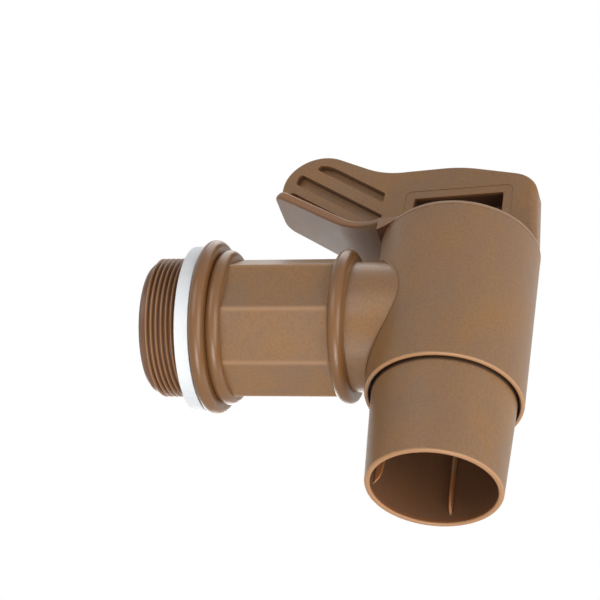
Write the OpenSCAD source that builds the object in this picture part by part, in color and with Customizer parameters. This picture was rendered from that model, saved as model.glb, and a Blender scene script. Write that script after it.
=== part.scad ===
// Quarter turn drum tap. A horizontal threaded inlet leads into an upright
// barrel. A hollow taper plug turns in the barrel, its lower end is the spout
// and its upper end is the handle. A plain washer seals the inlet flange.
// The frame's origin is the middle of the washer's sealing face, on the inlet
// axis, so the drum lies on the -X side of X = 0 and the barrel stands upright
// on the +X side. Each piece is drawn round the barrel axis and then moved
// there by seat_x. All sizes are in mm.

/* [Barrel] */
// Height of the barrel top above the inlet axis
barrel_top = 39; // [36:0.5:42]
// Depth of the barrel bottom below the inlet axis
barrel_bottom = 38.8; // [36:0.2:42]
// Outer radius of the barrel at its top
barrel_r_top = 34.6; // [34:0.1:36]
// Outer radius of the barrel at its bottom
barrel_r_bottom = 33.1; // [32.6:0.1:34]
// Radius of the taper bore at the barrel top
bore_r_top = 31.9; // [31.5:0.1:32.2]
// Radius of the taper bore at the barrel bottom
bore_r_bottom = 30.3; // [30.2:0.1:30.8]
// Depth of the counterbore that houses the snap bead
counterbore_depth = 3; // [2.4:0.2:4]
// Radius of the counterbore
counterbore_r = 30.95; // [30.9:0.05:31.4]

/* [Inlet] */
// Distance of the threaded end from the barrel axis
inlet_reach = 130.2; // [126:0.2:134]
// Outer radius of the 2 inch pipe thread at its crests
thread_crest_r = 30.16; // [30.16]
// Radius at the thread roots and of the plain lead
thread_root_r = 28.3; // [28:0.1:28.6]
// Length of the plain lead before the first thread ridge
lead_length = 3.6; // [2:0.2:5]
// Radius of the plain relief behind the thread, which the washer slips over
relief_r = 29.5; // [28.6:0.1:29.8]
// Length of the relief that shows in front of the washer
relief_show = 0.2; // [0.1:0.1:1]
// Distance of the flange face from the barrel axis
flange_face = 106; // [104:0.5:107]
// Radius of the passage through the inlet
inlet_bore_r = 24; // [22:0.5:24.5]
// Radius of the neck that enters the barrel
neck_r = 27.9; // [27:0.1:28.4]

/* [Collars and wrench section] */
// Outer radius of the flange bead beside the washer
flange_r = 38; // [37:0.1:39]
// Radius of the flange bead's round edge
flange_bead_r = 3.2; // [2.8:0.1:3.6]
// Outer radius of the second bead
second_r = 33.6; // [33:0.1:34.5]
// Radius of the second bead's round edge
second_bead_r = 3.2; // [2.8:0.1:3.6]
// Width of the octagon across its flats
octagon_flats = 56.7; // [56:0.1:58]
// Distance of the collar's middle from the barrel axis
collar_x = 44.4; // [43:0.1:46]
// Outer radius of the collar
collar_r = 33.4; // [32.8:0.1:34]
// Radius of the collar's round edge
collar_bead_r = 3.35; // [3:0.05:3.6]

/* [Plug and spout] */
// Gap between plug and bore, on the radius
running_gap = 0.06; // [0.02:0.01:0.1]
// Depth of the spout mouth below the inlet axis
mouth_depth = 81.8; // [76:0.2:86]
// Outer radius of the spout at its mouth
mouth_r = 28.1; // [27.5:0.1:28.6]
// Inner radius of the spout at its mouth
mouth_bore_r = 25; // [24.4:0.1:25.4]
// Inner radius of the plug under its top plate
plug_bore_r = 27.4; // [26.6:0.1:27.8]
// Thickness of the plug's top plate, disc included
top_plate = 4.8; // [4:0.2:6]
// Radius of the side port, and of the port in the barrel wall
port_r = 19.5; // [17:0.5:20]
// Number of drip ribs inside the spout
rib_count = 4; // [2:1:6]
// Height of the ribs' lower ends above the mouth
rib_rise = 5.4; // [4:0.2:8]

/* [Handle] */
// Angle of the handle from the inlet line as it stands
handle_turn = -5; // [-20:1:20]
// Thickness of the disc that closes the barrel
disc_thick = 1.75; // [1.5:0.05:2.5]
// Thickness of the lever paddle
paddle_thick = 4.1; // [3.6:0.1:4.6]
// Distance of the paddle tip from the barrel axis
paddle_reach = 87; // [82:0.5:90]
// Slope of the paddle and of the slots in degrees
paddle_slope = 34.7; // [30:0.1:38]
// Half width of the paddle at its tip
tip_half = 11.4; // [9:0.1:12]
// Thickness of the upright web
web_thick = 12; // [10:0.5:14]
// Depth of the three slots in each side of the web
slot_depth = 3.2; // [2:0.2:4.5]
// Depth of the deep pocket over the barrel
pocket_depth = 9.6; // [7:0.2:10]

/* [Washer] */
// Outer radius of the washer
washer_r = 35.5; // [34.6:0.1:36]
// Inner radius of the washer
washer_bore_r = 30.25; // [30.2:0.05:30.8]
// Thickness of the washer
washer_thick = 5.9; // [4:0.1:6.2]

/* [Hidden] */
tan_plastic = [0.62, 0.43, 0.26];
white_plastic = [0.94, 0.94, 0.95];
$fn = 96;

seat_x = flange_face + washer_thick;
disc_r = barrel_r_top + 0.05;
disc_top = barrel_top + disc_thick;
above_all = 3 * barrel_top;
thrust_gap = 0.04;
flange_x = -flange_face + flange_bead_r;
second_x = flange_x + flange_bead_r + second_bead_r - 0.4;
octagon_r = octagon_flats / 2 / cos(22.5);

// Underside of the paddle: where it starts, its slope there, its bend and thickness
root = [-33, 42];
root_slope = 6.5;
root_thick = 3;
bend_r = 50;
bend_end = root + bend_r * [sin(root_slope) - sin(paddle_slope), cos(root_slope) - cos(paddle_slope)];
paddle_drop = (bend_end - root) * [sin(paddle_slope), cos(paddle_slope)];

// Centre of the web's round lobe and the far end of the web over the barrel
lobe_c = [-68.6, 82.1];
web_end = barrel_r_top - 0.9;

// Radius of the taper bore at a height
function bore_r(z) = bore_r_bottom
    + (bore_r_top - bore_r_bottom) * (z + barrel_bottom) / (barrel_top + barrel_bottom);

// Points of an arc round c, from angle a to angle b
function arc(c, r, a, b, n) = [for (i = [0:n]) c + r * [cos(a + (b - a) * i / n), sin(a + (b - a) * i / n)]];

// A cylinder along X from x0 to x1
module along_x(r, x0, x1) {
    translate([x0, 0, 0]) rotate([0, 90, 0]) cylinder(r = r, h = x1 - x0);
}

// A round edged disc on the inlet axis, r is its full radius and e its edge radius
module bead(x, r, e) {
    translate([x, 0, 0]) rotate([0, 90, 0]) rotate_extrude() {
        translate([0, -e]) square([r - e, 2 * e]);
        intersection() {
            translate([r - e, 0]) circle(r = e);
            translate([0, -e]) square([r, 2 * e]);
        }
    }
}

// The barrel, its outside tapers down and its rims are eased
module barrel_outside() {
    ease = 0.5;
    rotate_extrude() polygon([
        [0, -barrel_bottom],
        [barrel_r_bottom - ease, -barrel_bottom],
        [barrel_r_bottom, -barrel_bottom + ease],
        [barrel_r_top, barrel_top],
        [0, barrel_top]
    ]);
}

module barrel_bore() {
    over = 1;
    rotate_extrude() polygon([
        [0, -barrel_bottom - over],
        [counterbore_r, -barrel_bottom - over],
        [counterbore_r, -barrel_bottom + counterbore_depth],
        [bore_r(-barrel_bottom + counterbore_depth), -barrel_bottom + counterbore_depth],
        [bore_r(barrel_top), barrel_top],
        [bore_r(barrel_top), barrel_top + over],
        [0, barrel_top + over]
    ]);
}

// Threaded end, flange, octagon, collar and neck as one run along X
module inlet_outside() {
    chamfer = 1.2;
    thread_end = -seat_x - relief_show;
    along_x(thread_crest_r, -inlet_reach + lead_length, thread_end);
    along_x(relief_r, thread_end - relief_show, -flange_face + flange_bead_r);
    along_x(thread_root_r, -inlet_reach + chamfer, -flange_face + flange_bead_r);
    translate([-inlet_reach, 0, 0]) rotate([0, 90, 0])
        cylinder(r1 = thread_root_r - chamfer, r2 = thread_root_r, h = chamfer);
    bead(flange_x, flange_r, flange_bead_r);
    bead(second_x, second_r, second_bead_r);
    translate([second_x, 0, 0]) rotate([0, 90, 0]) rotate([0, 0, 22.5])
        cylinder(r = octagon_r, h = -collar_x - second_x, $fn = 8);
    bead(-collar_x, collar_r, collar_bead_r);
    along_x(neck_r, -collar_x, 0);
}

module inlet_passage() {
    step_x = -barrel_r_top + 1;
    along_x(inlet_bore_r, -inlet_reach - 1, step_x);
    along_x(port_r, step_x - 1, 0);
}

module body() {
    color(tan_plastic) translate([seat_x, 0, 0]) difference() {
        union() {
            barrel_outside();
            inlet_outside();
        }
        barrel_bore();
        inlet_passage();
    }
}

// Outside of the plug and spout, with the snap bead under the barrel's ledge
module plug_outside() {
    ledge = -barrel_bottom + counterbore_depth;
    snap_r = bore_r(ledge) + 0.25;
    snap_top = ledge - 0.2;
    snap_low = snap_top - 1.4;
    stem_r = bore_r(ledge) - running_gap;
    rotate_extrude() polygon([
        [0, -mouth_depth],
        [mouth_r, -mouth_depth],
        [stem_r - 0.1, snap_low - 0.6],
        [snap_r, snap_low],
        [snap_r, snap_top],
        [stem_r, snap_top],
        [stem_r, ledge],
        [bore_r(barrel_top) - running_gap, barrel_top],
        [bore_r(barrel_top) - running_gap, barrel_top + thrust_gap],
        [disc_r, barrel_top + thrust_gap],
        [disc_r, disc_top],
        [0, disc_top]
    ]);
}

module plug_inside() {
    roof = disc_top - top_plate;
    round_r = 3;
    rotate_extrude() polygon(concat(
        [[0, -mouth_depth - 1], [mouth_bore_r, -mouth_depth - 1], [mouth_bore_r, -mouth_depth]],
        arc([plug_bore_r - round_r, roof - round_r], round_r, 0, 90, 8),
        [[0, roof]]
    ));
}

// Upright ribs on the inner wall, their lower ends run out at a slant
module ribs() {
    rib_wide = 1.6;
    rib_deep = 1.5;
    foot = -mouth_depth + rib_rise;
    below_port = 3;
    head = -port_r - below_port;
    for (i = [0:rib_count - 1])
        rotate([0, 0, i * 360 / rib_count]) rotate([90, 0, 0])
            translate([0, 0, -rib_wide / 2]) linear_extrude(rib_wide) polygon([
                [mouth_bore_r + 1, foot - 1],
                [mouth_bore_r - rib_deep + 0.5, foot + 3],
                [mouth_bore_r - rib_deep + 1.6, head],
                [mouth_bore_r + 3, head]
            ]);
}

// Outline of the disc and paddle seen from above, the flanks flare to meet the disc
module handle_plan() {
    flare_r = 70;
    taper = 5.8;
    corner_r = 5.5;
    foot = (tip_half + tan(taper) * paddle_reach) * cos(taper);
    normal = [-sin(taper), -cos(taper)];
    along = [-cos(taper), sin(taper)];
    run = sqrt(pow(disc_r + flare_r, 2) - pow(foot + flare_r, 2));
    flare_c = (foot + flare_r) * normal + run * along;
    tip_c = [corner_r - paddle_reach,
        corner_r / cos(taper) - tip_half - tan(taper) * corner_r];
    near = concat(
        arc(flare_c, flare_r, atan2(-flare_c[1], -flare_c[0]), 90 - taper, 12),
        arc(tip_c, corner_r, -90 - taper, -180, 8)
    );
    far = [for (i = [len(near) - 1:-1:0]) [near[i][0], -near[i][1]]];
    circle(r = disc_r);
    polygon(concat(near, far));
}

// Side section of the paddle, bent up from its root to its slope
module paddle_section() {
    steps = 10;
    under = [for (i = [0:steps]) let (a = root_slope + (paddle_slope - root_slope) * i / steps)
        root + bend_r * [sin(root_slope) - sin(a), cos(root_slope) - cos(a)]];
    upper = [for (i = [steps:-1:0]) let (
            a = root_slope + (paddle_slope - root_slope) * i / steps,
            t = root_thick + (paddle_thick - root_thick) * i / steps)
        under[i] + t * [sin(a), cos(a)]];
    tip = under[steps] + (paddle_reach + under[steps][0] + 1) * [-1, tan(paddle_slope)];
    polygon(concat(under, [tip, tip + [0, paddle_thick / cos(paddle_slope)]], upper));
}

// Side section of the root, which ends in a step under the paddle
module root_section() {
    inside = -disc_r + 13;
    polygon([
        [0, barrel_top + thrust_gap],
        [root[0], barrel_top + thrust_gap],
        [root[0], root[1] + root_thick],
        [inside, disc_top],
        [0, disc_top]
    ]);
}

// Side outline of the upright web: round lobe, hollow back, long crown and corner
module web_outline() {
    lobe_r = 17.6;
    back_slope = 27.4;
    hollow_r = 35;
    hollow_end = -30.5;
    hollow_z = 86.6;
    crown = [-10, 87];
    crown_r = 60;
    fall = 14.5;
    corner_r = 14;
    crown_end = crown + crown_r * [sin(fall), cos(fall) - 1];
    corner_x = web_end - corner_r;
    corner_z = crown_end[1] - corner_r * cos(fall)
        - (corner_x + corner_r * sin(fall) - crown_end[0]) * tan(fall);
    polygon(concat(
        [[root[0], barrel_top + 2], [root[0] - 6, root[1] + 4], [-53, 52], [0.6 - paddle_reach, 73.8]],
        arc(lobe_c, lobe_r, 180, 90 - back_slope, 14),
        arc([hollow_end, hollow_z + hollow_r], hollow_r, 270 - back_slope, 270, 6),
        arc(crown - [0, crown_r], crown_r, 92, 90 - fall, 6),
        arc([corner_x, corner_z], corner_r, 90 - fall, 0, 10),
        [[web_end, barrel_top + 1]]
    ));
}

// Shape that all slots stay in: it follows the lobe and ends in an upright line
module slot_field() {
    inset_r = 11.8;
    slots_end = -36.6;
    intersection() {
        translate(lobe_c) rotate(-paddle_slope) polygon(concat(
            arc([0, 0], inset_r, 90, 200, 12),
            [[-7.5, -16], [-7.5, -30], [95, -30], [95, inset_r]]
        ));
        translate([slots_end - 90, 0]) square([90, 120]);
    }
}

// One side's slots, each band is measured square to the paddle from its underside
module slot_shapes() {
    top_band = 25.6;
    for (band = [[4.7, 9.2], [13.8, 19.7], [top_band, top_band + 10]])
        intersection() {
            slot_field();
            translate(root) rotate(-paddle_slope)
                translate([-80, band[0] + paddle_drop]) square([120, band[1] - band[0]]);
        }
}

module web() {
    edge_r = 3.6;
    frame = 4.2;
    frame_depth = 0.35;
    pocket_left = -22.6;
    pocket_right = 17.9;
    pocket_low = disc_top + 2.4;
    pocket_high = 69.5;
    difference() {
        intersection() {
            translate([0, web_thick / 2, 0]) rotate([90, 0, 0]) linear_extrude(web_thick) web_outline();
            linear_extrude(above_all) union() {
                translate([-100, -web_thick / 2]) square([100 + web_end - edge_r, web_thick]);
                for (s = [-1, 1])
                    translate([web_end - edge_r, s * (web_thick / 2 - edge_r)]) circle(r = edge_r);
                translate([0, edge_r - web_thick / 2]) square([web_end, web_thick - 2 * edge_r]);
            }
        }
        for (s = [0, 1]) mirror([0, s, 0])
            translate([0, slot_depth - web_thick / 2, 0]) rotate([90, 0, 0])
                linear_extrude(slot_depth + 1) slot_shapes();
        translate([pocket_left, -web_thick / 2 - 1, pocket_low])
            cube([pocket_right - pocket_left, pocket_depth + 1, pocket_high - pocket_low]);
        translate([pocket_left - frame, -web_thick / 2 - 1, pocket_low])
            cube([pocket_right - pocket_left + 2 * frame, frame_depth + 1, pocket_high - pocket_low + frame]);
    }
}

// Disc root, paddle and web, drawn with the lever pointing along -X
module handle() {
    reach = 1.2 * disc_r;
    intersection() {
        translate([0, reach, 0]) rotate([90, 0, 0]) linear_extrude(2 * reach) {
            paddle_section();
            root_section();
        }
        linear_extrude(above_all) handle_plan();
    }
    web();
}

module plug() {
    color(tan_plastic) translate([seat_x, 0, 0]) rotate([0, 0, handle_turn]) {
        difference() {
            plug_outside();
            plug_inside();
            rotate([0, -90, 0]) cylinder(r = port_r, h = 1.2 * disc_r);
        }
        ribs();
        handle();
    }
}

module washer() {
    color(white_plastic) rotate([0, 90, 0]) difference() {
        cylinder(r = washer_r, h = washer_thick);
        translate([0, 0, -1]) cylinder(r = washer_bore_r, h = washer_thick + 2);
    }
}

body();
plug();
washer();
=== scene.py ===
import math

import bmesh
import bpy
from mathutils import Matrix, Vector


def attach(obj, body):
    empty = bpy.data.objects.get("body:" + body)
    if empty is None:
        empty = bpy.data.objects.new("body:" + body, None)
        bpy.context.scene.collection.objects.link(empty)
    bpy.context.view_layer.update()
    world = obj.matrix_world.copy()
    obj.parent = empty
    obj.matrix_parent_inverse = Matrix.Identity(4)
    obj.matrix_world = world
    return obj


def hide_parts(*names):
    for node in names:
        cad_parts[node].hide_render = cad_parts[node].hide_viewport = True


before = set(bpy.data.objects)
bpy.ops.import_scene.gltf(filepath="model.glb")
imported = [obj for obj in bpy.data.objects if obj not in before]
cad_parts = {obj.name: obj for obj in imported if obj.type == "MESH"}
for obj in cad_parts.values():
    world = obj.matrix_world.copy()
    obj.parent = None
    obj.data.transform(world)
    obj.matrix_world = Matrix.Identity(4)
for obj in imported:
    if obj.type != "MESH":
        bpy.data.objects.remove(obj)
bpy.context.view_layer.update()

scene = bpy.context.scene

# All sizes below are millimetres in the part's own frame, and each finished
# piece is brought to metres when it becomes an object.
METRES = 0.001
BARREL_X = 111.9  # barrel axis, measured from the washer's sealing face
HANDLE_TURN = -5.0  # degrees that the handle stands off the inlet line
ROUND = 144  # facets round the barrel, the spout and the inlet


# ---------------------------------------------------------------- profiles
def arc(centre, radius, start, end, steps):
    """Points of an arc, angles in degrees."""
    turn = [math.radians(start + (end - start) * i / steps) for i in range(steps + 1)]
    return [(centre[0] + radius * math.cos(a), centre[1] + radius * math.sin(a)) for a in turn]


def eased(points, steps=4):
    """A closed outline or an open profile. A third number rounds that corner to its radius."""
    out = []
    for i, point in enumerate(points):
        here = Vector(point[:2])
        if len(point) < 3:
            out.append(here)
            continue
        back = (Vector(points[i - 1][:2]) - here).normalized()
        on = (Vector(points[(i + 1) % len(points)][:2]) - here).normalized()
        radius, half = point[2], back.angle(on) / 2
        centre = here + (back + on).normalized() * radius / math.sin(half)
        first = here + back * radius / math.tan(half) - centre
        side = 1 if back.cross(on) < 0 else -1
        sweep = math.degrees(math.pi - 2 * half) * side
        start = math.degrees(math.atan2(first.y, first.x))
        out += arc(centre, radius, start, start + sweep, steps)
    return [tuple(p) for p in out]


# ---------------------------------------------------------------- mesh tools
def tidy(bm, gap=0.0005):
    bmesh.ops.remove_doubles(bm, verts=bm.verts, dist=gap)
    bmesh.ops.dissolve_degenerate(bm, edges=bm.edges, dist=gap)
    bmesh.ops.recalc_face_normals(bm, faces=bm.faces)
    return bm


def lathe(profile, steps=ROUND, ring=False):
    """A solid, or a hollow ring, turned round Z from (radius, height) points."""
    bm = bmesh.new()
    verts = [bm.verts.new((r, 0, z)) for r, z in profile]
    edges = [bm.edges.new(pair) for pair in zip(verts, verts[1:] + verts[:1] * ring)]
    bmesh.ops.spin(bm, geom=verts + edges, cent=(0, 0, 0), axis=(0, 0, 1),
                   angle=math.tau, steps=steps, use_merge=True)
    return tidy(bm)


def prism(outline, low, high):
    """A solid with that outline in XY, from low to high along Z."""
    bm = bmesh.new()
    face = bm.faces.new([bm.verts.new((x, y, low)) for x, y in outline])
    grown = bmesh.ops.extrude_face_region(bm, geom=[face], use_keep_orig=True)["geom"]
    bmesh.ops.translate(bm, vec=(0, 0, high - low),
                        verts=[v for v in grown if isinstance(v, bmesh.types.BMVert)])
    return tidy(bm)


def turn(bm, degrees, axis):
    bmesh.ops.rotate(bm, verts=bm.verts, cent=(0, 0, 0),
                     matrix=Matrix.Rotation(math.radians(degrees), 3, axis))
    return bm


def shift(bm, x=0, y=0, z=0):
    bmesh.ops.translate(bm, verts=bm.verts, vec=(x, y, z))
    return bm


def along_x(bm):
    """Lays a solid drawn along Z on the X axis."""
    return turn(bm, 90, "Y")


def side_prism(outline, half):
    """A solid whose outline is given in XZ, half its width on each side of Y = 0."""
    return turn(prism(outline, -half, half), 90, "X")


def ease_edges(bm, edges, width, steps=3):
    bmesh.ops.bevel(bm, geom=edges, offset=width, offset_type="OFFSET", affect="EDGES",
                    segments=steps, profile=0.5, material=-1, clamp_overlap=True)
    return bm


def sharp(bm, degrees=40):
    return [e for e in bm.edges
            if len(e.link_faces) == 2 and e.calc_face_angle() > math.radians(degrees)]


def combine(base, other, how):
    """base united with, or cut by, other. Both are used up."""
    pair = []
    for bm in (base, other):
        mesh = bpy.data.meshes.new("work")
        bm.to_mesh(mesh)
        bm.free()
        pair.append(bpy.data.objects.new("work", mesh))
        scene.collection.objects.link(pair[-1])
    step = pair[0].modifiers.new("step", "BOOLEAN")
    step.operation = how
    step.solver = "EXACT"
    step.object = pair[1]
    done = bpy.data.meshes.new_from_object(
        pair[0].evaluated_get(bpy.context.evaluated_depsgraph_get()))
    out = bmesh.new()
    out.from_mesh(done)
    for ob in pair:
        mesh = ob.data
        bpy.data.objects.remove(ob)
        bpy.data.meshes.remove(mesh)
    bpy.data.meshes.remove(done)
    return tidy(out)


def unite(base, *others):
    for other in others:
        base = combine(base, other, "UNION")
    return base


def cut(base, *others):
    for other in others:
        base = combine(base, other, "DIFFERENCE")
    return base


def piece(name, bm, body, node, crease=38):
    """The finished object, in metres, in place of a CAD node."""
    bmesh.ops.scale(bm, verts=bm.verts, vec=(METRES,) * 3)
    mesh = bpy.data.meshes.new(name)
    bm.to_mesh(mesh)
    bm.free()
    mesh.shade_smooth()
    mesh.set_sharp_from_angle(angle=math.radians(crease))
    ob = bpy.data.objects.new(name, mesh)
    scene.collection.objects.link(ob)
    weigh = ob.modifiers.new("even shading", "WEIGHTED_NORMAL")
    weigh.keep_sharp = True
    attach(ob, body)
    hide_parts(node)
    return ob


# ---------------------------------------------------------------- threaded inlet
PITCH = 2.209
CREST = 30.16
ROOT = 28.3
INLET_END = -18.3
RIDGE_LINE = -16.3  # where the ridge's crest, carried on, would cross the bottom of the inlet


def smooth_step(value):
    value = min(max(value, 0), 1)
    return value * value * (3 - 2 * value)


def thread():
    """Plain lead, right-hand pipe thread and relief, one ridge profile spun with its lead."""
    form = [(0.0, 0.0), (0.06, 0.02), (0.40, 0.88), (0.45, 1.0), (0.55, 1.0), (0.60, 0.88), (0.94, 0.02)]
    first, last, fade = 0.42, 7.0, 0.13
    clear_turns = 2
    low = RIDGE_LINE - (clear_turns + 0.5) * PITCH
    bm = bmesh.new()
    verts = [bm.verts.new((ROOT + lift * (CREST - ROOT), 0, low + (i + share) * PITCH))
             for i in range(clear_turns * 2 + 8) for share, lift in form]
    edges = [bm.edges.new(pair) for pair in zip(verts, verts[1:])]
    bmesh.ops.spin(bm, geom=verts + edges, cent=(0, 0, 0), axis=(0, 0, 1), angle=math.tau,
                   dvec=(0, 0, PITCH / ROUND), steps=ROUND, use_merge=False)
    bmesh.ops.remove_doubles(bm, verts=bm.verts, dist=0.002)
    for v in bm.verts:
        share = math.atan2(v.co.y, v.co.x) / math.tau % 1
        turns = math.floor((v.co.z - low) / PITCH - share + 1e-4) + share - clear_turns
        height = smooth_step((turns - first) / fade) * smooth_step((last - turns) / fade)
        radius = math.hypot(v.co.x, v.co.y)
        scale = (ROOT + (radius - ROOT) * height) / radius
        v.co.x *= scale
        v.co.y *= scale
    ends = []
    for place, way in ((INLET_END + 1.2, -1), (1.0, 1)):
        kept = bmesh.ops.bisect_plane(bm, geom=bm.verts[:] + bm.edges[:] + bm.faces[:], dist=0.0005,
                                      plane_co=(0, 0, place), plane_no=(0, 0, way), clear_outer=True)
        ends.append([e for e in kept["geom_cut"] if isinstance(e, bmesh.types.BMEdge)])
    for loop, moves in zip(ends, (((-1.2, 1 - 1.2 / ROOT),), ((0.4, 29.5 / ROOT), (6, 1)))):
        for along, scale in moves:
            grown = bmesh.ops.extrude_edge_only(bm, edges=loop)["geom"]
            rim = [g for g in grown if isinstance(g, bmesh.types.BMVert)]
            bmesh.ops.translate(bm, verts=rim, vec=(0, 0, along))
            bmesh.ops.scale(bm, verts=rim, vec=(scale, scale, 1))
            rim = set(rim)
            loop = [e for e in bm.edges if e.verts[0] in rim and e.verts[1] in rim]
        bmesh.ops.contextual_create(bm, geom=loop)
    return tidy(bm)


def barrel_radius(z):
    return 33.1 + 1.5 * (z + 38.8) / 77.8


def saddle(neck_r, radius):
    """The moulded fillet where the round neck meets the upright barrel, as a closed ring."""
    rows, steps = 96, 6
    bm = bmesh.new()
    loops = [[] for _ in range(steps + 2)]
    for i in range(rows):
        a = math.tau * i / rows
        ball = Vector((0, (neck_r + radius) * math.cos(a), (neck_r + radius) * math.sin(a)))
        barrel_r = barrel_radius(ball.z)
        ball.x = -math.sqrt((barrel_r + radius) ** 2 - ball.y ** 2)
        on_neck = Vector((ball.x, neck_r * math.cos(a), neck_r * math.sin(a)))
        on_barrel = Vector((ball.x, ball.y, 0)) * barrel_r / (barrel_r + radius)
        on_barrel.z = ball.z
        first, last = on_neck - ball, on_barrel - ball
        for k in range(steps + 1):
            loops[k].append(bm.verts.new(ball + first.slerp(last, k / steps)))
        inner = (on_neck + on_barrel) / 2 - (ball - (on_neck + on_barrel) / 2).normalized() * radius
        loops[-1].append(bm.verts.new(inner))
    rings = [[bm.edges.new((ring[i - 1], ring[i])) for i in range(rows)] for ring in loops]
    for here, there in zip(rings, rings[1:] + rings[:1]):
        bmesh.ops.bridge_loops(bm, edges=here + there)
    return shift(tidy(bm), BARREL_X)


def build_body():
    inside = 27.5
    core = along_x(lathe(
        [(0, -16), (inside, -16), (inside, 5.9)]
        + arc((34.8, 9.1), 3.2, -90, 0, 8) + arc((34.8, 9.1), 3.2, 0, 90, 8)[1:]
        + arc((30.4, 15.1), 3.2, -61, 90, 14)
        + [(26, 18.3), (26, 64.15)]
        + arc((30.05, 67.5), 3.35, -90, 90, 16)
        + [(27.9, 70.85), (27.9, BARREL_X), (0, BARREL_X)]))
    wide = 28.35 / math.cos(math.pi / 8)
    octagon = prism([(wide * math.cos(math.radians(22.5 + 45 * i)),
                      wide * math.sin(math.radians(22.5 + 45 * i))) for i in range(8)], 15, 67.5)
    ease_edges(octagon, [e for e in octagon.edges if abs(e.verts[0].co.z - e.verts[1].co.z) > 1], 0.5)
    barrel = shift(lathe(eased([(0, -38.8), (33.1, -38.8, 0.9), (34.6, 39, 0.3), (0, 39)])), BARREL_X)
    body = unite(core, along_x(thread()), along_x(octagon), barrel, saddle(27.9, 1.2))
    bore = shift(lathe(eased([(0, -41), (32.3, -41), (31.0, -38.1, 0.6), (30.95, -35.8), (30.35, -35.8),
                              (31.9, 39), (31.92, 40), (0, 40)])), BARREL_X)
    passage = along_x(lathe([(0, -20), (25.6, -20), (24, -17), (24, 78.3), (0, 78.3)]))
    port = along_x(lathe([(0, 77), (19.5, 77), (19.5, BARREL_X), (0, BARREL_X)]))
    return cut(body, bore, passage, port)


# ---------------------------------------------------------------- plug, spout and handle
# The handle is drawn with its lever along -X from the barrel axis, then turned.
DISC_R = 34.65
DISC_TOP = 40.75
SEAT_Z = 39.04
STEP = Vector((-33, 44.1))  # where the paddle's underside leaves the root
ROOT_SLOPE, SLOPE = math.radians(4), math.radians(33.5)
SLOT_SLOPE = math.radians(34.7)
BEND_R = 45
BEND_LONG = BEND_R * (SLOPE - ROOT_SLOPE)
BEND_END = STEP + BEND_R * Vector((math.sin(ROOT_SLOPE) - math.sin(SLOPE),
                                   math.cos(ROOT_SLOPE) - math.cos(SLOPE)))
REACH = 88.1
PADDLE, ROOT_THICK = 4.1, 2.6
WEB = 6.0  # half the web's thickness
END_X, END_TILT, FOOT_Z = 34.3, 2.4, 40.2  # the web's end: its foot and how far it leans in
LOBE = (-68.6, 82.1)


def flank():
    """One side of the paddle's plan, from where it leaves the disc to the middle of its tip."""
    flare, taper, corner, tip = 70, math.radians(3.4), 5.5, 12.2
    foot = (tip + math.tan(taper) * 87) * math.cos(taper)
    run = math.sqrt((DISC_R + flare) ** 2 - (foot + flare) ** 2)
    centre = (-math.sin(taper) * (foot + flare) - math.cos(taper) * run,
              -math.cos(taper) * (foot + flare) + math.sin(taper) * run)
    start = math.degrees(math.atan2(-centre[1], -centre[0]))
    tip_y = corner / math.cos(taper) - tip - math.tan(taper) * corner
    return (arc(centre, flare, start, 90 - math.degrees(taper), 16)
            + arc((corner - REACH, tip_y), corner, -90 - math.degrees(taper), -180, 8))


def paddle_along(x):
    """Distance along the paddle's underside from its root, for a place in the plan."""
    if x > STEP.x:
        return (STEP.x - x) / math.cos(ROOT_SLOPE)
    if x > BEND_END.x:
        return BEND_R * (math.asin(math.sin(ROOT_SLOPE) - (x - STEP.x) / BEND_R) - ROOT_SLOPE)
    return BEND_LONG + (BEND_END.x - x) / math.cos(SLOPE)


def paddle_place(s, up):
    """Where a point s along the underside and up from it lies, as (x, z)."""
    slope = ROOT_SLOPE + min(max(s, 0), BEND_LONG) / BEND_R
    if s <= 0:
        base = STEP + s * Vector((-math.cos(slope), math.sin(slope)))
    elif s < BEND_LONG:
        base = STEP + BEND_R * Vector((math.sin(ROOT_SLOPE) - math.sin(slope),
                                       math.cos(ROOT_SLOPE) - math.cos(slope)))
    else:
        base = BEND_END + (s - BEND_LONG) * Vector((-math.cos(slope), math.sin(slope)))
    return base + up * Vector((math.sin(slope), math.cos(slope)))


def paddle():
    """The lever: a flat plate with a rounded rim, then bent up from its root."""
    near = [(paddle_along(x), y) for x, y in flank()]
    start = -0.2
    keep = [p for p in near if p[0] > start]
    before = near[len(near) - len(keep) - 1]
    share = (start - before[0]) / (keep[0][0] - before[0])
    keep.insert(0, (start, before[1] + (keep[0][1] - before[1]) * share))
    bm = prism(keep + [(x, -y) for x, y in reversed(keep)], 0, PADDLE)
    rim = [e for e in sharp(bm, 60)
           if abs(e.verts[0].co.z - e.verts[1].co.z) < 0.01
           and (e.verts[0].co.x > start + 0.01 or e.verts[1].co.x > start + 0.01)]
    ease_edges(bm, rim, 1.4, 5)
    for i in range(1, 14):
        bmesh.ops.bisect_plane(bm, geom=bm.verts[:] + bm.edges[:] + bm.faces[:], dist=0.0005,
                               plane_co=(BEND_LONG * i / 13, 0, 0), plane_no=(1, 0, 0))
    for v in bm.verts:
        thin = ROOT_THICK + (PADDLE - ROOT_THICK) * min(max(v.co.x, 0), BEND_LONG) / BEND_LONG
        x, z = paddle_place(v.co.x, v.co.z * thin / PADDLE)
        v.co = (x, v.co.y, z)
    return tidy(bm)


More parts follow.
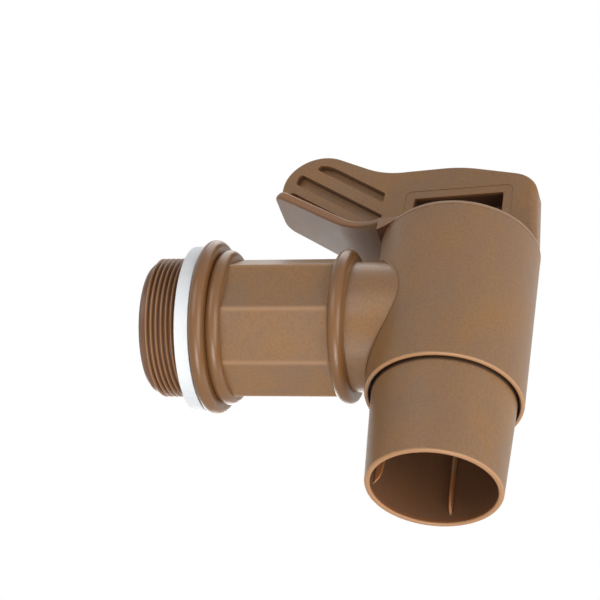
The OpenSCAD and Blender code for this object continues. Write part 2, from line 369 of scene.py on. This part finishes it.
def root():
    """The wedge between the disc and the paddle, with the step under the paddle."""
    near = [p for p in flank() if p[0] > STEP.x - 4]
    edge = DISC_R - 0.12
    start = math.degrees(math.atan2(near[0][1], near[0][0])) + 360
    round_part = arc((0, 0), DISC_R, start, 270, 24)
    plan = [(0, -20)] + [(x, y) for x, y in round_part[::-1] if x < -8] + near[1:]
    plan = [(-8, -edge)] + plan[1:]
    bm = prism(plan + [(x, -y) for x, y in reversed(plan)], SEAT_Z + 0.9, 50)
    def slice_off(point, normal):
        bmesh.ops.bisect_plane(bm, geom=bm.verts[:] + bm.edges[:] + bm.faces[:], dist=0.0005,
                               plane_co=point, plane_no=normal, clear_outer=True)
        bmesh.ops.holes_fill(bm, edges=[e for e in bm.edges if e.is_boundary], sides=0)
    slice_off((STEP.x, 0, 40), (-1, 0, 0))
    top = (STEP.x, 0, STEP.y + ROOT_THICK)
    fall = Vector((-DISC_R + 13, 0, DISC_TOP)) - Vector(top)
    slice_off(top, (-fall.z, 0, fall.x))
    return tidy(bm)


def web_outline():
    lobe_r, back, hollow_r, crown_r, fall, corner = 17.6, 27.4, 35, 60, 14.5, 14
    lean = math.radians(fall)
    crown = (-10 + crown_r * math.sin(lean), 87 + crown_r * (math.cos(lean) - 1))
    tilt = math.radians(END_TILT)
    above = (crown[1] - corner * math.cos(lean)
             - (corner * math.sin(lean) - crown[0]) * math.tan(lean))
    corner_x = ((END_X - corner * math.cos(tilt) - math.tan(tilt) * (corner * math.sin(tilt) - FOOT_Z + above))
                / (1 - math.tan(tilt) * math.tan(lean)))
    corner_z = above - corner_x * math.tan(lean)
    return ([(-31, 40.4), (-31, 45.4), (-39, 46.3), (-53, 52.8), (-86.2, 75)]
            + arc(LOBE, lobe_r, 180, 90 - back, 18)
            + arc((-30.5, 86.6 + hollow_r), hollow_r, 270 - back, 270, 8)
            + arc((-10, 87 - crown_r), crown_r, 92, 90 - fall, 8)
            + arc((corner_x, corner_z), corner, 90 - fall, END_TILT, 12)
            + [(END_X, FOOT_Z)])


def slot(low, high):
    """One slot's outline: a band along the paddle, bounded by the lobe and an upright right end."""
    up = Vector((math.sin(SLOT_SLOPE), math.cos(SLOT_SLOPE)))
    on = Vector((math.cos(SLOT_SLOPE), -math.sin(SLOT_SLOPE)))
    lobe = Vector(LOBE)
    inset_r, end = 11.8, -36.6
    def place(height, along, *corner):
        return (*(lobe + up * height + on * along), *corner)
    def at_end(height, *corner):
        return place(height, (end - lobe.x - up.x * height) / on.x, *corner)
    def left(height):
        return -1.13 * math.sqrt(inset_r ** 2 - height ** 2) if height > -4 else (-4 - height) * 0.3 - 11.1
    if high > 11:
        bow = [place(inset_r * math.cos(a), -1.13 * inset_r * math.sin(a))
               for a in (math.acos(low / inset_r) * k / 5 for k in range(4))]
    else:
        bow = [place(high, left(high), 1.6)]
    return eased(bow + [place(low, left(low), 1.5), at_end(low, 0.8), at_end(high, 0.8)], 4)


def web():
    """The upright web, with slots in both faces and the deep pocket in the near one."""
    bm = side_prism(web_outline(), WEB)
    rim = [e for e in sharp(bm, 80) if min(v.co.z for v in e.verts) > 40.5
           and abs(e.verts[0].co.y - e.verts[1].co.y) < 1]
    ease_edges(bm, rim, 0.9, 3)
    end_r = 3.6
    corner = arc((-end_r, end_r - WEB), end_r, -90, 0, 8)
    corner = [(-end_r, -WEB - 1)] + corner + [(1, end_r - WEB), (1, -WEB - 1)]
    recesses = [shift(turn(prism(outline, -20, 90), -END_TILT, "Y"), END_X, 0, FOOT_Z)
                for outline in (corner, [(x, -y) for x, y in corner[::-1]])]
    for low, high in ((-15, -9.4), (-4.8, 1.1), (7, 11.79)):
        for side in (-1, 1):
            recesses.append(shift(side_prism(slot(low, high), 4), y=side * (WEB - 3.2 + 4)))
    frame_side = [(-26.8, 43.2), (22.1, 43.2), (22.1, 73.7, 3), (-26.8, 73.7, 3)]
    recesses.append(shift(side_prism(eased(frame_side), 4), y=-WEB + 0.25 - 4))
    pocket = [(-22.6, 43.2), (17.9, 43.2), (17.9, 69.5, 0.8), (-22.6, 69.5, 0.8)]
    recesses.append(shift(side_prism(eased(pocket), 10), y=-WEB + 9.6 - 10))
    return cut(bm, *recesses)


def ribs():
    """Thin upright ribs on the spout's inner wall, run out at a slant near the mouth."""
    foot, head = -77.0, -22.5
    side = [(26.3, foot - 1.4), (24.7, foot + 0.6), (23.4, foot + 2.4), (22.6, foot + 4.8),
            (22.1, foot + 8.5), (21.9, foot + 13), (21.9, head), (28, head)]
    made = []
    for i in range(4):
        bm = side_prism(side, 0.6)
        ease_edges(bm, [e for e in sharp(bm, 60) if max(v.co.x for v in e.verts) < 26.4
                        and abs(e.verts[0].co.y - e.verts[1].co.y) < 0.1], 0.35, 2)
        made.append(turn(bm, 90 * i - 2.1, "Z"))
    return made


def build_plug():
    shell = lathe(eased([(0, 35.95), (27.4, 35.95, 3), (25.6, -81.8, 0.8), (27.95, -81.8, 0.9),
                         (30.19, -38), (30.6, -37.4), (30.6, -36), (30.3, -35.9), (31.84, 39.0),
                         (31.84, SEAT_Z), (DISC_R, SEAT_Z, 0.2), (DISC_R, DISC_TOP, 0.4), (0, DISC_TOP)]))
    port = turn(lathe([(0, 15), (19.5, 15), (19.5, 36), (0, 36)]), -90, "Y")
    plug = unite(cut(shell, port), *ribs(), root(), paddle(), web())
    return shift(turn(plug, HANDLE_TURN, "Z"), BARREL_X)


def build_washer():
    """Flat and loose on the thread, so it hangs a little below the inlet's axis."""
    bore, rim, sag = 31.15, 35.9, -0.9
    section = [(bore, 0, 0.25), (rim, 0, 0.35), (rim, 5.9, 0.35), (bore, 5.9, 0.25)]
    return shift(along_x(lathe(eased(section), ring=True)), z=sag)


piece("tap_body_moulding", build_body(), "tap_body", "body")
piece("plug_moulding", build_plug(), "tap_plug", "plug")
piece("flange_washer", build_washer(), "tap_body", "washer")

# ---------------------------------------------------------------- camera
def place_camera():
    azimuth, elevation, roll = (math.radians(a) for a in (16.873, -37.597, 10.123))
    back = Vector((math.sin(azimuth) * math.cos(elevation),
                   -math.cos(azimuth) * math.cos(elevation), math.sin(elevation)))
    right = Vector((math.cos(azimuth), math.sin(azimuth), 0))
    up = back.cross(right)
    axes = (right * math.cos(roll) + up * math.sin(roll),
            up * math.cos(roll) - right * math.sin(roll), back)
    data = bpy.data.cameras.new("camera")
    data.sensor_width = 36
    data.lens = 114
    data.clip_start = 0.01
    data.clip_end = 20
    ob = bpy.data.objects.new("camera", data)
    ob.matrix_world = (Matrix.Translation((0.23393, -0.62759, -0.48994))
                       @ Matrix(axes).transposed().to_4x4())
    scene.collection.objects.link(ob)
    scene.camera = ob


place_camera()


# ---------------------------------------------------------------- materials
class Wire:
    """One output socket. Arithmetic on it adds Math nodes to its material."""

    def __init__(self, finish, socket):
        self.finish, self.socket = finish, socket

    def maths(self, operation, *values):
        return self.finish.node("Math", {"operation": operation}, dict(enumerate(values)))

    def __add__(self, other):
        return self.maths("ADD", self, other)

    def __sub__(self, other):
        return self.maths("SUBTRACT", self, other)

    def __mul__(self, other):
        return self.maths("MULTIPLY", self, other)

    def __truediv__(self, other):
        return self.maths("DIVIDE", self, other)

    def __radd__(self, other):
        return self.maths("ADD", other, self)

    def __rsub__(self, other):
        return self.maths("SUBTRACT", other, self)

    def __rmul__(self, other):
        return self.maths("MULTIPLY", other, self)

    def __pow__(self, other):
        return self.maths("POWER", self, other)


class Finish:
    """A node tree that is filled through one method."""

    def __init__(self, tree):
        self.tree = tree
        self.coords = None

    def node(self, kind, settings=None, sockets=None, out=0):
        made = self.tree.nodes.new("ShaderNode" + kind)
        for key, value in (settings or {}).items():
            if key == "stops":
                for stop, (place, colour) in zip(made.color_ramp.elements, value):
                    stop.position, stop.color = place, colour
            else:
                setattr(made, key, value)
        for key, value in (sockets or {}).items():
            self.give(made.inputs[key], value)
        return Wire(self, made.outputs[out])

    def give(self, socket, value):
        if isinstance(value, Wire):
            self.tree.links.new(value.socket, socket)
        else:
            socket.default_value = value

    def place(self):
        """The surface point, in metres in the part's own frame."""
        if self.coords is None:
            self.coords = self.node("TexCoord", out="Object")
        return self.coords

    def noise(self, size_mm, detail=2, rough=0.5, stretch=(1, 1, 1)):
        """Soft noise from 0 to 1, with features of about that size."""
        point = self.node("Mapping", {}, {"Vector": self.place(), "Scale": stretch})
        return self.node("TexNoise", {"normalize": True},
                         {"Vector": point, "Scale": 1000 / size_mm, "Detail": detail, "Roughness": rough})

    def ease(self, value, low, high):
        """0 below low, 1 above high, and smooth in between."""
        return self.node("MapRange", {"interpolation_type": "SMOOTHSTEP", "clamp": True},
                         {"Value": value, "From Min": low, "From Max": high})

    def blend(self, share, first, second):
        return self.node("Mix", {"data_type": "RGBA"}, {0: share, 6: first, 7: second}, out=2)


def finish_of(name):
    material = bpy.data.materials.new(name)
    material.use_nodes = True
    finish = Finish(material.node_tree)
    return material, finish, material.node_tree.nodes["Principled BSDF"].inputs


def tan_plastic():
    """Brown moulded polypropylene: cloudy colour, a fine skin and soft, uneven gloss; its colour also holds painted
    shade in the thread, spout, slots, pocket and gaps, and painted highlights along edges.
    """
    material, finish, shader = finish_of("tan_plastic")
    cloud = finish.noise(34, 3, 0.55)
    streak = finish.noise(9, 4, 0.6, (1, 1, 0.45))
    speck = finish.noise(1.1, 3, 0.7)
    warm = finish.ease(cloud * 0.65 + streak * 0.35, 0.36, 0.64)
    colour = finish.blend(warm, (0.252, 0.144, 0.076, 1), (0.302, 0.152, 0.054, 1))
    colour = finish.blend(finish.ease(speck, 0.42, 0.66) * 0.6, colour, (0.215, 0.110, 0.052, 1))
    axes = finish.node("SeparateXYZ", {}, {0: finish.place()}).socket.node.outputs
    along, across, height = (Wire(finish, axes[n]) for n in "XYZ")
    from_inlet = (across * across + height * height) ** 0.5
    out = along - BARREL_X * METRES
    from_barrel = (across * across + out * out) ** 0.5
    threaded = 1 - finish.ease(along, -0.0006, -0.0002)
    # Painted shade: the whole threaded inlet is darkened for the shade between its ridges.
    colour = finish.blend(threaded * 0.80, colour, (0.150, 0.066, 0.036, 1))
    beads = (finish.ease(from_inlet, 0.0288, 0.0315) * (1 - finish.ease(from_inlet, 0.0382, 0.0388))
             * (1 - finish.ease(along, 0.0722, 0.0730)))
    octagon = finish.ease(along, 0.0183, 0.0195) * (1 - finish.ease(along, 0.0630, 0.0641))
    beads = beads * (1 - octagon)
    colour = finish.blend(beads * (1 - threaded) * 0.8, colour, (0.205, 0.090, 0.028, 1))
    # Painted highlight: the octagon's rounded corners are lightened for the light they catch.
    octagon_corner_highlight = octagon * finish.ease(from_inlet, 0.0300, 0.0305) * (1 - finish.ease(from_inlet, 0.0309, 0.0312))
    colour = finish.blend(octagon_corner_highlight * 0.6, colour, (0.39, 0.215, 0.110, 1))
    # Painted shade: the inside of the spout is darkened.
    spout_inside_shade = (1 - finish.ease(from_barrel, 0.0275, 0.0279)) * (1 - finish.ease(height, -0.0300, -0.0280))
    colour = finish.blend(spout_inside_shade * 0.65, colour, (0.140, 0.056, 0.030, 1))
    # Painted glow: an orange tint inside the spout near its mouth, for light shining through the thin wall.
    glow = spout_inside_shade * (1 - finish.ease(height, -0.0808, -0.0788))
    colour = finish.blend(glow * 0.5, colour, (0.30, 0.100, 0.032, 1))
    # Painted shadow: a near-black band on the spout in the gap under the barrel's lower rim.
    gap = (finish.ease(from_barrel, 0.0290, 0.0295) * (1 - finish.ease(from_barrel, 0.0315, 0.0318))
           * finish.ease(height, -0.0404, -0.0390) * (1 - finish.ease(height, -0.0340, -0.0330)))
    colour = finish.blend(gap * 0.85, colour, (0.030, 0.014, 0.009, 1))
    swing = math.radians(HANDLE_TURN)
    over = out * math.cos(swing) + across * math.sin(swing)
    depth = across * math.cos(swing) - out * math.sin(swing)
    aside = depth.maths("ABSOLUTE", depth)
    band = ((over - LOBE[0] * METRES) * math.sin(SLOT_SLOPE)
            + (height - LOBE[1] * METRES) * math.cos(SLOT_SLOPE))
    # Painted shade: the slots in the web are darkened.
    slots = (finish.ease(band, -0.0052, -0.0048) * (1 - finish.ease(band, 0.0011, 0.0015))
             + finish.ease(band, 0.0066, 0.0070) * (1 - finish.ease(band, 0.0121, 0.0125)))
    slots = (slots * finish.ease(aside, 0.0027, 0.0030) * (1 - finish.ease(aside, 0.0048, 0.0056))
             * (1 - finish.ease(over, -0.0366, -0.0362)))
    bow = ((over - LOBE[0] * METRES) * math.cos(SLOT_SLOPE)
           - (height - LOBE[1] * METRES) * math.sin(SLOT_SLOPE))
    bow = bow.maths("MINIMUM", bow, 0)
    slots = slots * (1 - finish.ease((bow * bow + band * band) ** 0.5, 0.0142, 0.0152))
    colour = finish.blend(slots * 0.75, colour, (0.120, 0.060, 0.034, 1))
    # Painted edge light: a lighter orange band along the paddle's rounded flanks.
    flank_rim = aside - 0.0122 - (over + REACH * METRES) * math.tan(math.radians(3.4))
    lever_rim_light = (finish.ease(flank_rim, -0.0024, -0.0008) * (1 - finish.ease(over, -0.0460, -0.0400))
                 * finish.ease(height, 0.0440, 0.0450))
    colour = finish.blend(lever_rim_light * 0.55, colour, (0.345, 0.150, 0.060, 1))
    # Painted shade: the pocket in the web is darkened almost to black.
    pocket = (finish.ease(depth, -0.0056, -0.0035) * (1 - finish.ease(depth, 0.0040, 0.0045))
              * finish.ease(over, -0.0230, -0.0226) * (1 - finish.ease(over, 0.0179, 0.0183))
              * finish.ease(height, 0.0428, 0.0432) * (1 - finish.ease(height, 0.0695, 0.0699)))
    # Painted edge light: an orange tint round the pocket's mouth and the frame about it.
    mouth = (finish.ease(over, -0.0234, -0.0231) * (1 - finish.ease(over, 0.0184, 0.0187))
             * finish.ease(height, 0.0428, 0.0432) * (1 - finish.ease(height, 0.0700, 0.0703))
             * (1 - finish.ease(depth, -0.0048, -0.0042)))
    colour = finish.blend(mouth * 0.5, colour, (0.27, 0.105, 0.038, 1))
    colour = finish.blend(pocket * 0.85, colour, (0.060, 0.027, 0.016, 1))
    # Painted highlight: thread crests, the spout's lip, the barrel's lower rim and the ribs get a bright orange tint
    # for the light along them.
    crest = finish.ease(from_inlet, 0.0291, 0.0300) * threaded
    lip = 1 - finish.ease(height, -0.0816, -0.0806)
    skirt = (finish.ease(from_barrel, 0.0314, 0.0319)
             * (1 - finish.ease(height, -0.0386, -0.0380)) * finish.ease(height, -0.0400, -0.0390))
    rib = (1 - finish.ease(from_barrel, 0.0247, 0.0252)) * (1 - finish.ease(height, -0.0200, -0.0190))
    edge = crest.maths("MAXIMUM", crest.maths("MAXIMUM", crest, lip), crest.maths("MAXIMUM", skirt, rib))
    colour = finish.blend(edge * 0.85, colour, (0.46, 0.240, 0.112, 1))
    beyond = finish.ease(from_barrel, 0.03470, 0.03485) * finish.ease(height, 0.0396, 0.0398)
    # Painted highlight: an orange line along the lower edge of the root's side.
    root_edge_highlight = beyond * (1 - finish.ease(height, 0.0401, 0.0412))
    colour = finish.blend(root_edge_highlight * 0.7, colour, (0.36, 0.130, 0.045, 1))
    # Painted shade: the root's underside beyond the disc is darkened.
    root_under_shade = beyond * (1 - finish.ease(height, 0.03996, 0.04001))
    colour = finish.blend(root_under_shade * 0.85, colour, (0.085, 0.038, 0.020, 1))
    # Painted highlight: a light line along the disc's rim.
    rim = (finish.ease(from_barrel, 0.0343, 0.0346) * (1 - finish.ease(from_barrel, 0.03470, 0.03485))
           * finish.ease(height, 0.0393, 0.0396) * (1 - finish.ease(height, 0.0409, 0.0411)))
    colour = finish.blend(rim * 0.5, colour, (0.42, 0.26, 0.16, 1))
    # Painted light: the ribs' lower ends near the mouth get a bright orange tint for the light on their sides.
    colour = finish.blend(rib * (1 - finish.ease(height, -0.0640, -0.0560)) * 0.8, colour,
                          (0.43, 0.150, 0.048, 1))
    finish.give(shader["Base Color"], colour)
    finish.give(shader["Roughness"], 0.30 + finish.noise(5, 3) * 0.10 + streak * 0.06 - beads * 0.07)
    skin = finish.noise(0.9, 2, 0.6) * 0.25 + finish.noise(12, 2) * 1.6
    finish.give(shader["Normal"], finish.node("Bump", {}, {"Strength": 0.55, "Distance": 0.00012, "Height": skin}))
    shader["IOR"].default_value = 1.49
    return material


def white_plastic():
    """Bluish white soft plastic with faint clouding and a matt moulded skin."""
    material, finish, shader = finish_of("white_plastic")
    cloud = finish.noise(16, 3, 0.6)
    colour = finish.blend(finish.ease(cloud, 0.3, 0.7), (0.79, 0.815, 0.835, 1), (0.84, 0.855, 0.87, 1))
    finish.give(shader["Base Color"], colour)
    finish.give(shader["Roughness"], 0.42 + finish.noise(3, 2) * 0.10)
    finish.give(shader["Normal"], finish.node("Bump", {}, {"Strength": 0.4, "Distance": 0.00008,
                                                           "Height": finish.noise(0.8, 2) * 0.3 + finish.noise(7, 2)}))
    shader["IOR"].default_value = 1.47
    return material


FINISHES = {"tap_body_moulding": tan_plastic(), "flange_washer": white_plastic()}
FINISHES["plug_moulding"] = FINISHES["tap_body_moulding"]
for name, material in FINISHES.items():
    bpy.data.objects[name].data.materials.append(material)


# ---------------------------------------------------------------- floor and light
def shown(finish):
    """1 for what the camera, a reflection or a see-through piece looks at, else 0."""
    path = finish.node("LightPath").socket.node.outputs
    camera, glossy, through = (Wire(finish, path[n]) for n in
                               ("Is Camera Ray", "Is Glossy Ray", "Is Transmission Ray"))
    return camera.maths("MAXIMUM", camera.maths("MAXIMUM", camera, glossy * GLOSS_SEES), through)


def surroundings():
    """White to the eye and in reflections, and a plain soft level of light on the object."""
    world = bpy.data.worlds.new("studio")
    scene.world = world
    world.use_nodes = True
    finish = Finish(world.node_tree)
    sky = world.node_tree.nodes["Background"].inputs
    sky["Color"].default_value = (1, 1, 1, 1)
    finish.give(sky["Strength"], WORLD_LIGHT + (1 - WORLD_LIGHT) * shown(finish))


def floor():
    """A plain pale floor, well below the camera, which looks up at the part."""
    bm = bmesh.new()
    bmesh.ops.create_grid(bm, x_segments=2, y_segments=2, size=40)
    shift(bm, z=FLOOR_Z)
    mesh = bpy.data.meshes.new("floor")
    bm.to_mesh(mesh)
    bm.free()
    ob = bpy.data.objects.new("floor", mesh)
    scene.collection.objects.link(ob)
    material, finish, shader = finish_of("pale_floor")
    shader["Base Color"].default_value = (0.88, 0.88, 0.87, 1)
    shader["Roughness"].default_value = 0.8
    nodes = material.node_tree.nodes
    lit = Wire(finish, nodes["Principled BSDF"].outputs[0])
    glow = finish.node("Emission", {}, {"Color": (1, 1, 1, 1), "Strength": 1})
    mixed = finish.node("MixShader", {}, {0: shown(finish) * 0.7, 1: lit, 2: glow})
    finish.give(nodes["Material Output"].inputs["Surface"], mixed)
    ob.data.materials.append(material)


def lamp(name, place, aim, size, power):
    data = bpy.data.lights.new(name, "AREA")
    data.shape = "RECTANGLE"
    data.size, data.size_y = size
    data.energy = power
    ob = bpy.data.objects.new(name, data)
    ob.location = place
    ob.rotation_euler = (Vector(place) - Vector(aim)).to_track_quat("Z", "Y").to_euler()
    scene.collection.objects.link(ob)


WORLD_LIGHT = 0.27
GLOSS_SEES = 0.75  # how much of the white surroundings a reflection shows
FLOOR_Z = -1.25
surroundings()
floor()
MIDDLE = (0.06, 0, 0)
lamp("key", (1.10, -0.50, -0.35), MIDDLE, (0.9, 0.9), 7.5)
lamp("low", (0.25, -0.25, -1.10), MIDDLE, (0.6, 0.6), 7.5)
lamp("front", (-0.45, -1.10, 0.00), MIDDLE, (0.8, 0.8), 4)
lamp("limb", (1.15, 0.40, -0.25), MIDDLE, (1.0, 1.0), 3)
lamp("top", (0.1, 0.2, 1.2), MIDDLE, (0.9, 0.9), 4.5)
lamp("back", (-0.3, 1.1, 0.3), MIDDLE, (0.8, 0.6), 5)

scene.view_settings.view_transform = "Standard"
